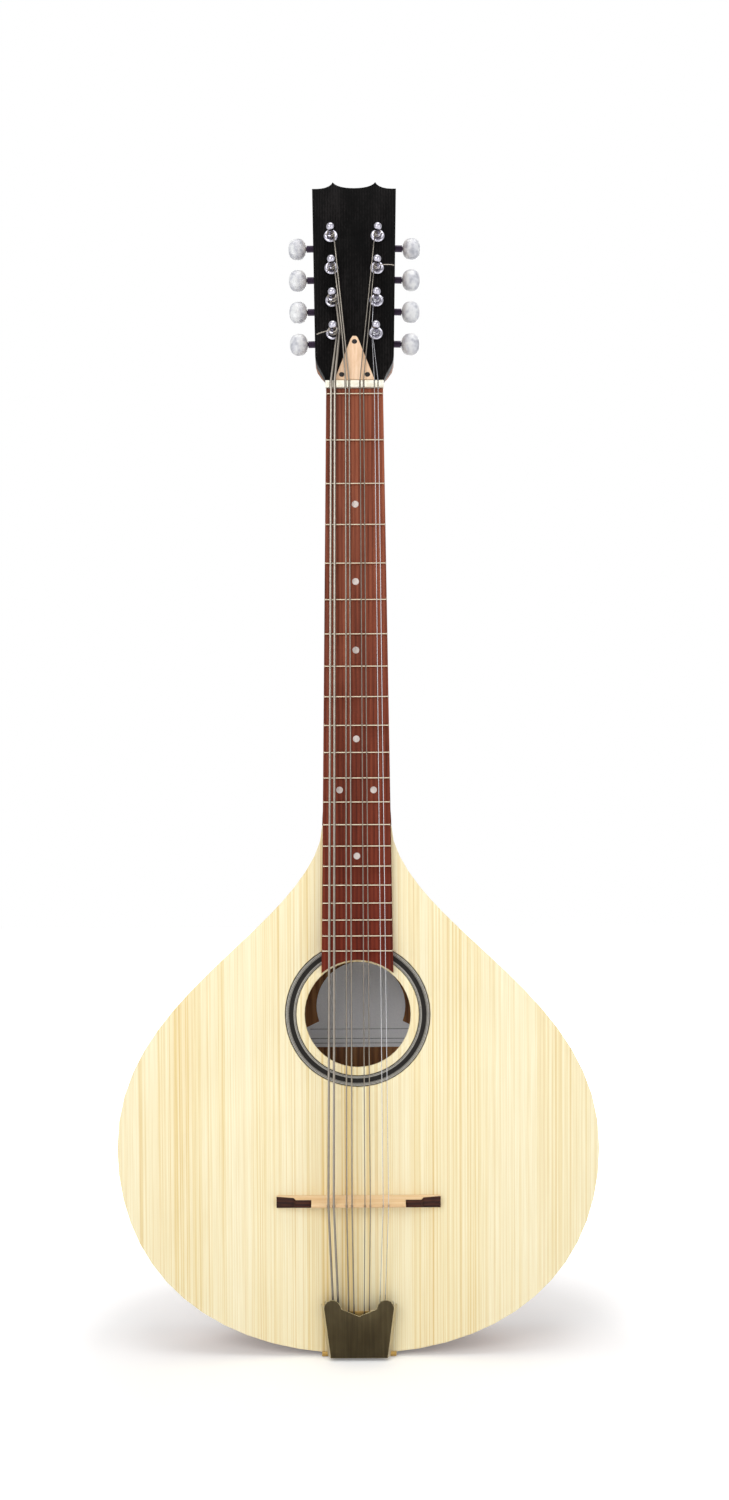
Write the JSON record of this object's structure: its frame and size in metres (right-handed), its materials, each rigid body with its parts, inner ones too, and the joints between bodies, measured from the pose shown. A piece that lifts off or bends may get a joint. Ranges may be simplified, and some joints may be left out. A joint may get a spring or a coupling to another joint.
{
  "type": "mandocello",
  "caption": "Mandocello with a teardrop body, round sound hole, fretted neck, raked head with geared side tuners, floating bridge and covered tailpiece.",
  "frame": {"origin": "centre line at the zero fret, in the plane of the soundboard's front face, where a wall hanger's yoke holds the neck below the head", "axes": "+Z along the strings towards the head, +X to the viewer's right seen from the front, +Y from front to back; the front faces -Y"},
  "size_m": [0.3942, 0.1013, 0.9694],
  "materials": {
    "spruce_top": "unfinished",
    "back_wood": "satin",
    "lining_wood": "raw",
    "neck_wood": "satin",
    "black_veneer": "satin",
    "rosewood_board": "oiled",
    "nut_bone": "polished",
    "inlaid_strips": "satin",
    "pale_maple": "satin",
    "bridge_maple": "satin",
    "bridge_rosewood": "satin",
    "dark_bronze": "aged",
    "chrome": "polished",
    "key_metal": "satin",
    "pearl_button": "pearl",
    "plain_steel": "bright",
    "wound_bronze": "satin",
    "rod_steel": "plain"
  },
  "bodies": {
    "root": {"soundboard": "spruce_top", "rosette": "inlaid_strips", "back": "back_wood", "sides": "back_wood", "top_frame": "lining_wood", "back_frame": "lining_wood", "tail_block": "lining_wood", "neck": "neck_wood", "headplate": "black_veneer", "truss_rod_cover": "pale_maple", "fretboard": "rosewood_board", "nut": "nut_bone", "bridge": "bridge_maple", "bridge_cap_left": "bridge_rosewood", "bridge_cap_right": "bridge_rosewood", "tailpiece": "dark_bronze", "string_c_inner": "wound_bronze", "string_c_outer": "wound_bronze", "string_g_inner": "wound_bronze", "string_g_outer": "wound_bronze", "string_d_inner": "wound_bronze", "string_d_outer": "wound_bronze", "string_a_inner": "plain_steel", "string_a_outer": "plain_steel", "tuner_plate_left": "chrome", "ferrule_left_1": "chrome", "ferrule_left_2": "chrome", "ferrule_left_3": "chrome", "ferrule_left_4": "chrome", "tuner_plate_right": "chrome", "ferrule_right_1": "chrome", "ferrule_right_2": "chrome", "ferrule_right_3": "chrome", "ferrule_right_4": "chrome"},
    "truss_rod_body": {"truss_rod": "rod_steel"},
    "cover_body": {"tailpiece_cover": "dark_bronze"},
    "post_body_left_1": {"post_left_1": "chrome"},
    "key_body_left_1": {"key_left_1": "key_metal", "button_left_1": "pearl_button"},
    "post_body_left_2": {"post_left_2": "chrome"},
    "key_body_left_2": {"key_left_2": "key_metal", "button_left_2": "pearl_button"},
    "post_body_left_3": {"post_left_3": "chrome"},
    "key_body_left_3": {"key_left_3": "key_metal", "button_left_3": "pearl_button"},
    "post_body_left_4": {"post_left_4": "chrome"},
    "key_body_left_4": {"key_left_4": "key_metal", "button_left_4": "pearl_button"},
    "post_body_right_1": {"post_right_1": "chrome"},
    "key_body_right_1": {"key_right_1": "key_metal", "button_right_1": "pearl_button"},
    "post_body_right_2": {"post_right_2": "chrome"},
    "key_body_right_2": {"key_right_2": "key_metal", "button_right_2": "pearl_button"},
    "post_body_right_3": {"post_right_3": "chrome"},
    "key_body_right_3": {"key_right_3": "key_metal", "button_right_3": "pearl_button"},
    "post_body_right_4": {"post_right_4": "chrome"},
    "key_body_right_4": {"key_right_4": "key_metal", "button_right_4": "pearl_button"}
  },
  "joints": [
    {"name": "truss_rod_turn", "type": "hinge", "parent": "root", "child": "truss_rod_body", "pos_m": [0, 0.0054, 0], "axis": [0, 0, 1], "range_deg": [-360, 360]},
    {"name": "cover_slide", "type": "slide", "parent": "root", "child": "cover_body", "axis": [0, -1, 0], "range_m": [0, 0.04]},
    {"name": "key_turn_left_1", "type": "hinge", "parent": "root", "child": "key_body_left_1", "pos_m": [-0.01942, 0.06211, 0.14093], "axis": [0.9998, 0.006, 0.021], "continuous": true},
    {"name": "post_turn_left_1", "type": "hinge", "parent": "root", "child": "post_body_left_1", "pos_m": [-0.01924, 0.03706, 0.13953], "axis": [0, -0.9613, 0.2756], "continuous": true},
    {"name": "key_turn_left_2", "type": "hinge", "parent": "root", "child": "key_body_left_2", "pos_m": [-0.01876, 0.05376, 0.11181], "axis": [0.9998, 0.006, 0.021], "continuous": true},
    {"name": "post_turn_left_2", "type": "hinge", "parent": "root", "child": "post_body_left_2", "pos_m": [-0.01858, 0.02871, 0.11041], "axis": [0, -0.9613, 0.2756], "continuous": true},
    {"name": "key_turn_left_3", "type": "hinge", "parent": "root", "child": "key_body_left_3", "pos_m": [-0.0181, 0.04541, 0.08269], "axis": [0.9998, 0.006, 0.021], "continuous": true},
    {"name": "post_turn_left_3", "type": "hinge", "parent": "root", "child": "post_body_left_3", "pos_m": [-0.01792, 0.02036, 0.08129], "axis": [0, -0.9613, 0.2756], "continuous": true},
    {"name": "key_turn_left_4", "type": "hinge", "parent": "root", "child": "key_body_left_4", "pos_m": [-0.01744, 0.03706, 0.05357], "axis": [0.9998, 0.006, 0.021], "continuous": true},
    {"name": "post_turn_left_4", "type": "hinge", "parent": "root", "child": "post_body_left_4", "pos_m": [-0.01726, 0.01201, 0.05217], "axis": [0, -0.9613, 0.2756], "continuous": true},
    {"name": "key_turn_right_1", "type": "hinge", "parent": "root", "child": "key_body_right_1", "pos_m": [0.01942, 0.06211, 0.14093], "axis": [-0.9998, 0.006, 0.021], "continuous": true},
    {"name": "post_turn_right_1", "type": "hinge", "parent": "root", "child": "post_body_right_1", "pos_m": [0.01924, 0.03706, 0.13953], "axis": [0, 0.9613, -0.2756], "continuous": true},
    {"name": "key_turn_right_2", "type": "hinge", "parent": "root", "child": "key_body_right_2", "pos_m": [0.01876, 0.05376, 0.11181], "axis": [-0.9998, 0.006, 0.021], "continuous": true},
    {"name": "post_turn_right_2", "type": "hinge", "parent": "root", "child": "post_body_right_2", "pos_m": [0.01858, 0.02871, 0.11041], "axis": [0, 0.9613, -0.2756], "continuous": true},
    {"name": "key_turn_right_3", "type": "hinge", "parent": "root", "child": "key_body_right_3", "pos_m": [0.0181, 0.04541, 0.08269], "axis": [-0.9998, 0.006, 0.021], "continuous": true},
    {"name": "post_turn_right_3", "type": "hinge", "parent": "root", "child": "post_body_right_3", "pos_m": [0.01792, 0.02036, 0.08129], "axis": [0, 0.9613, -0.2756], "continuous": true},
    {"name": "key_turn_right_4", "type": "hinge", "parent": "root", "child": "key_body_right_4", "pos_m": [0.01744, 0.03706, 0.05357], "axis": [-0.9998, 0.006, 0.021], "continuous": true},
    {"name": "post_turn_right_4", "type": "hinge", "parent": "root", "child": "post_body_right_4", "pos_m": [0.01726, 0.01201, 0.05217], "axis": [0, 0.9613, -0.2756], "continuous": true}
  ],
  "couplings": [
    {"joint": "post_turn_left_1", "follows": "key_turn_left_1", "ratio": 0.071429},
    {"joint": "post_turn_left_2", "follows": "key_turn_left_2", "ratio": 0.071429},
    {"joint": "post_turn_left_3", "follows": "key_turn_left_3", "ratio": 0.071429},
    {"joint": "post_turn_left_4", "follows": "key_turn_left_4", "ratio": 0.071429},
    {"joint": "post_turn_right_1", "follows": "key_turn_right_1", "ratio": 0.071429},
    {"joint": "post_turn_right_2", "follows": "key_turn_right_2", "ratio": 0.071429},
    {"joint": "post_turn_right_3", "follows": "key_turn_right_3", "ratio": 0.071429},
    {"joint": "post_turn_right_4", "follows": "key_turn_right_4", "ratio": 0.071429}
  ]
}
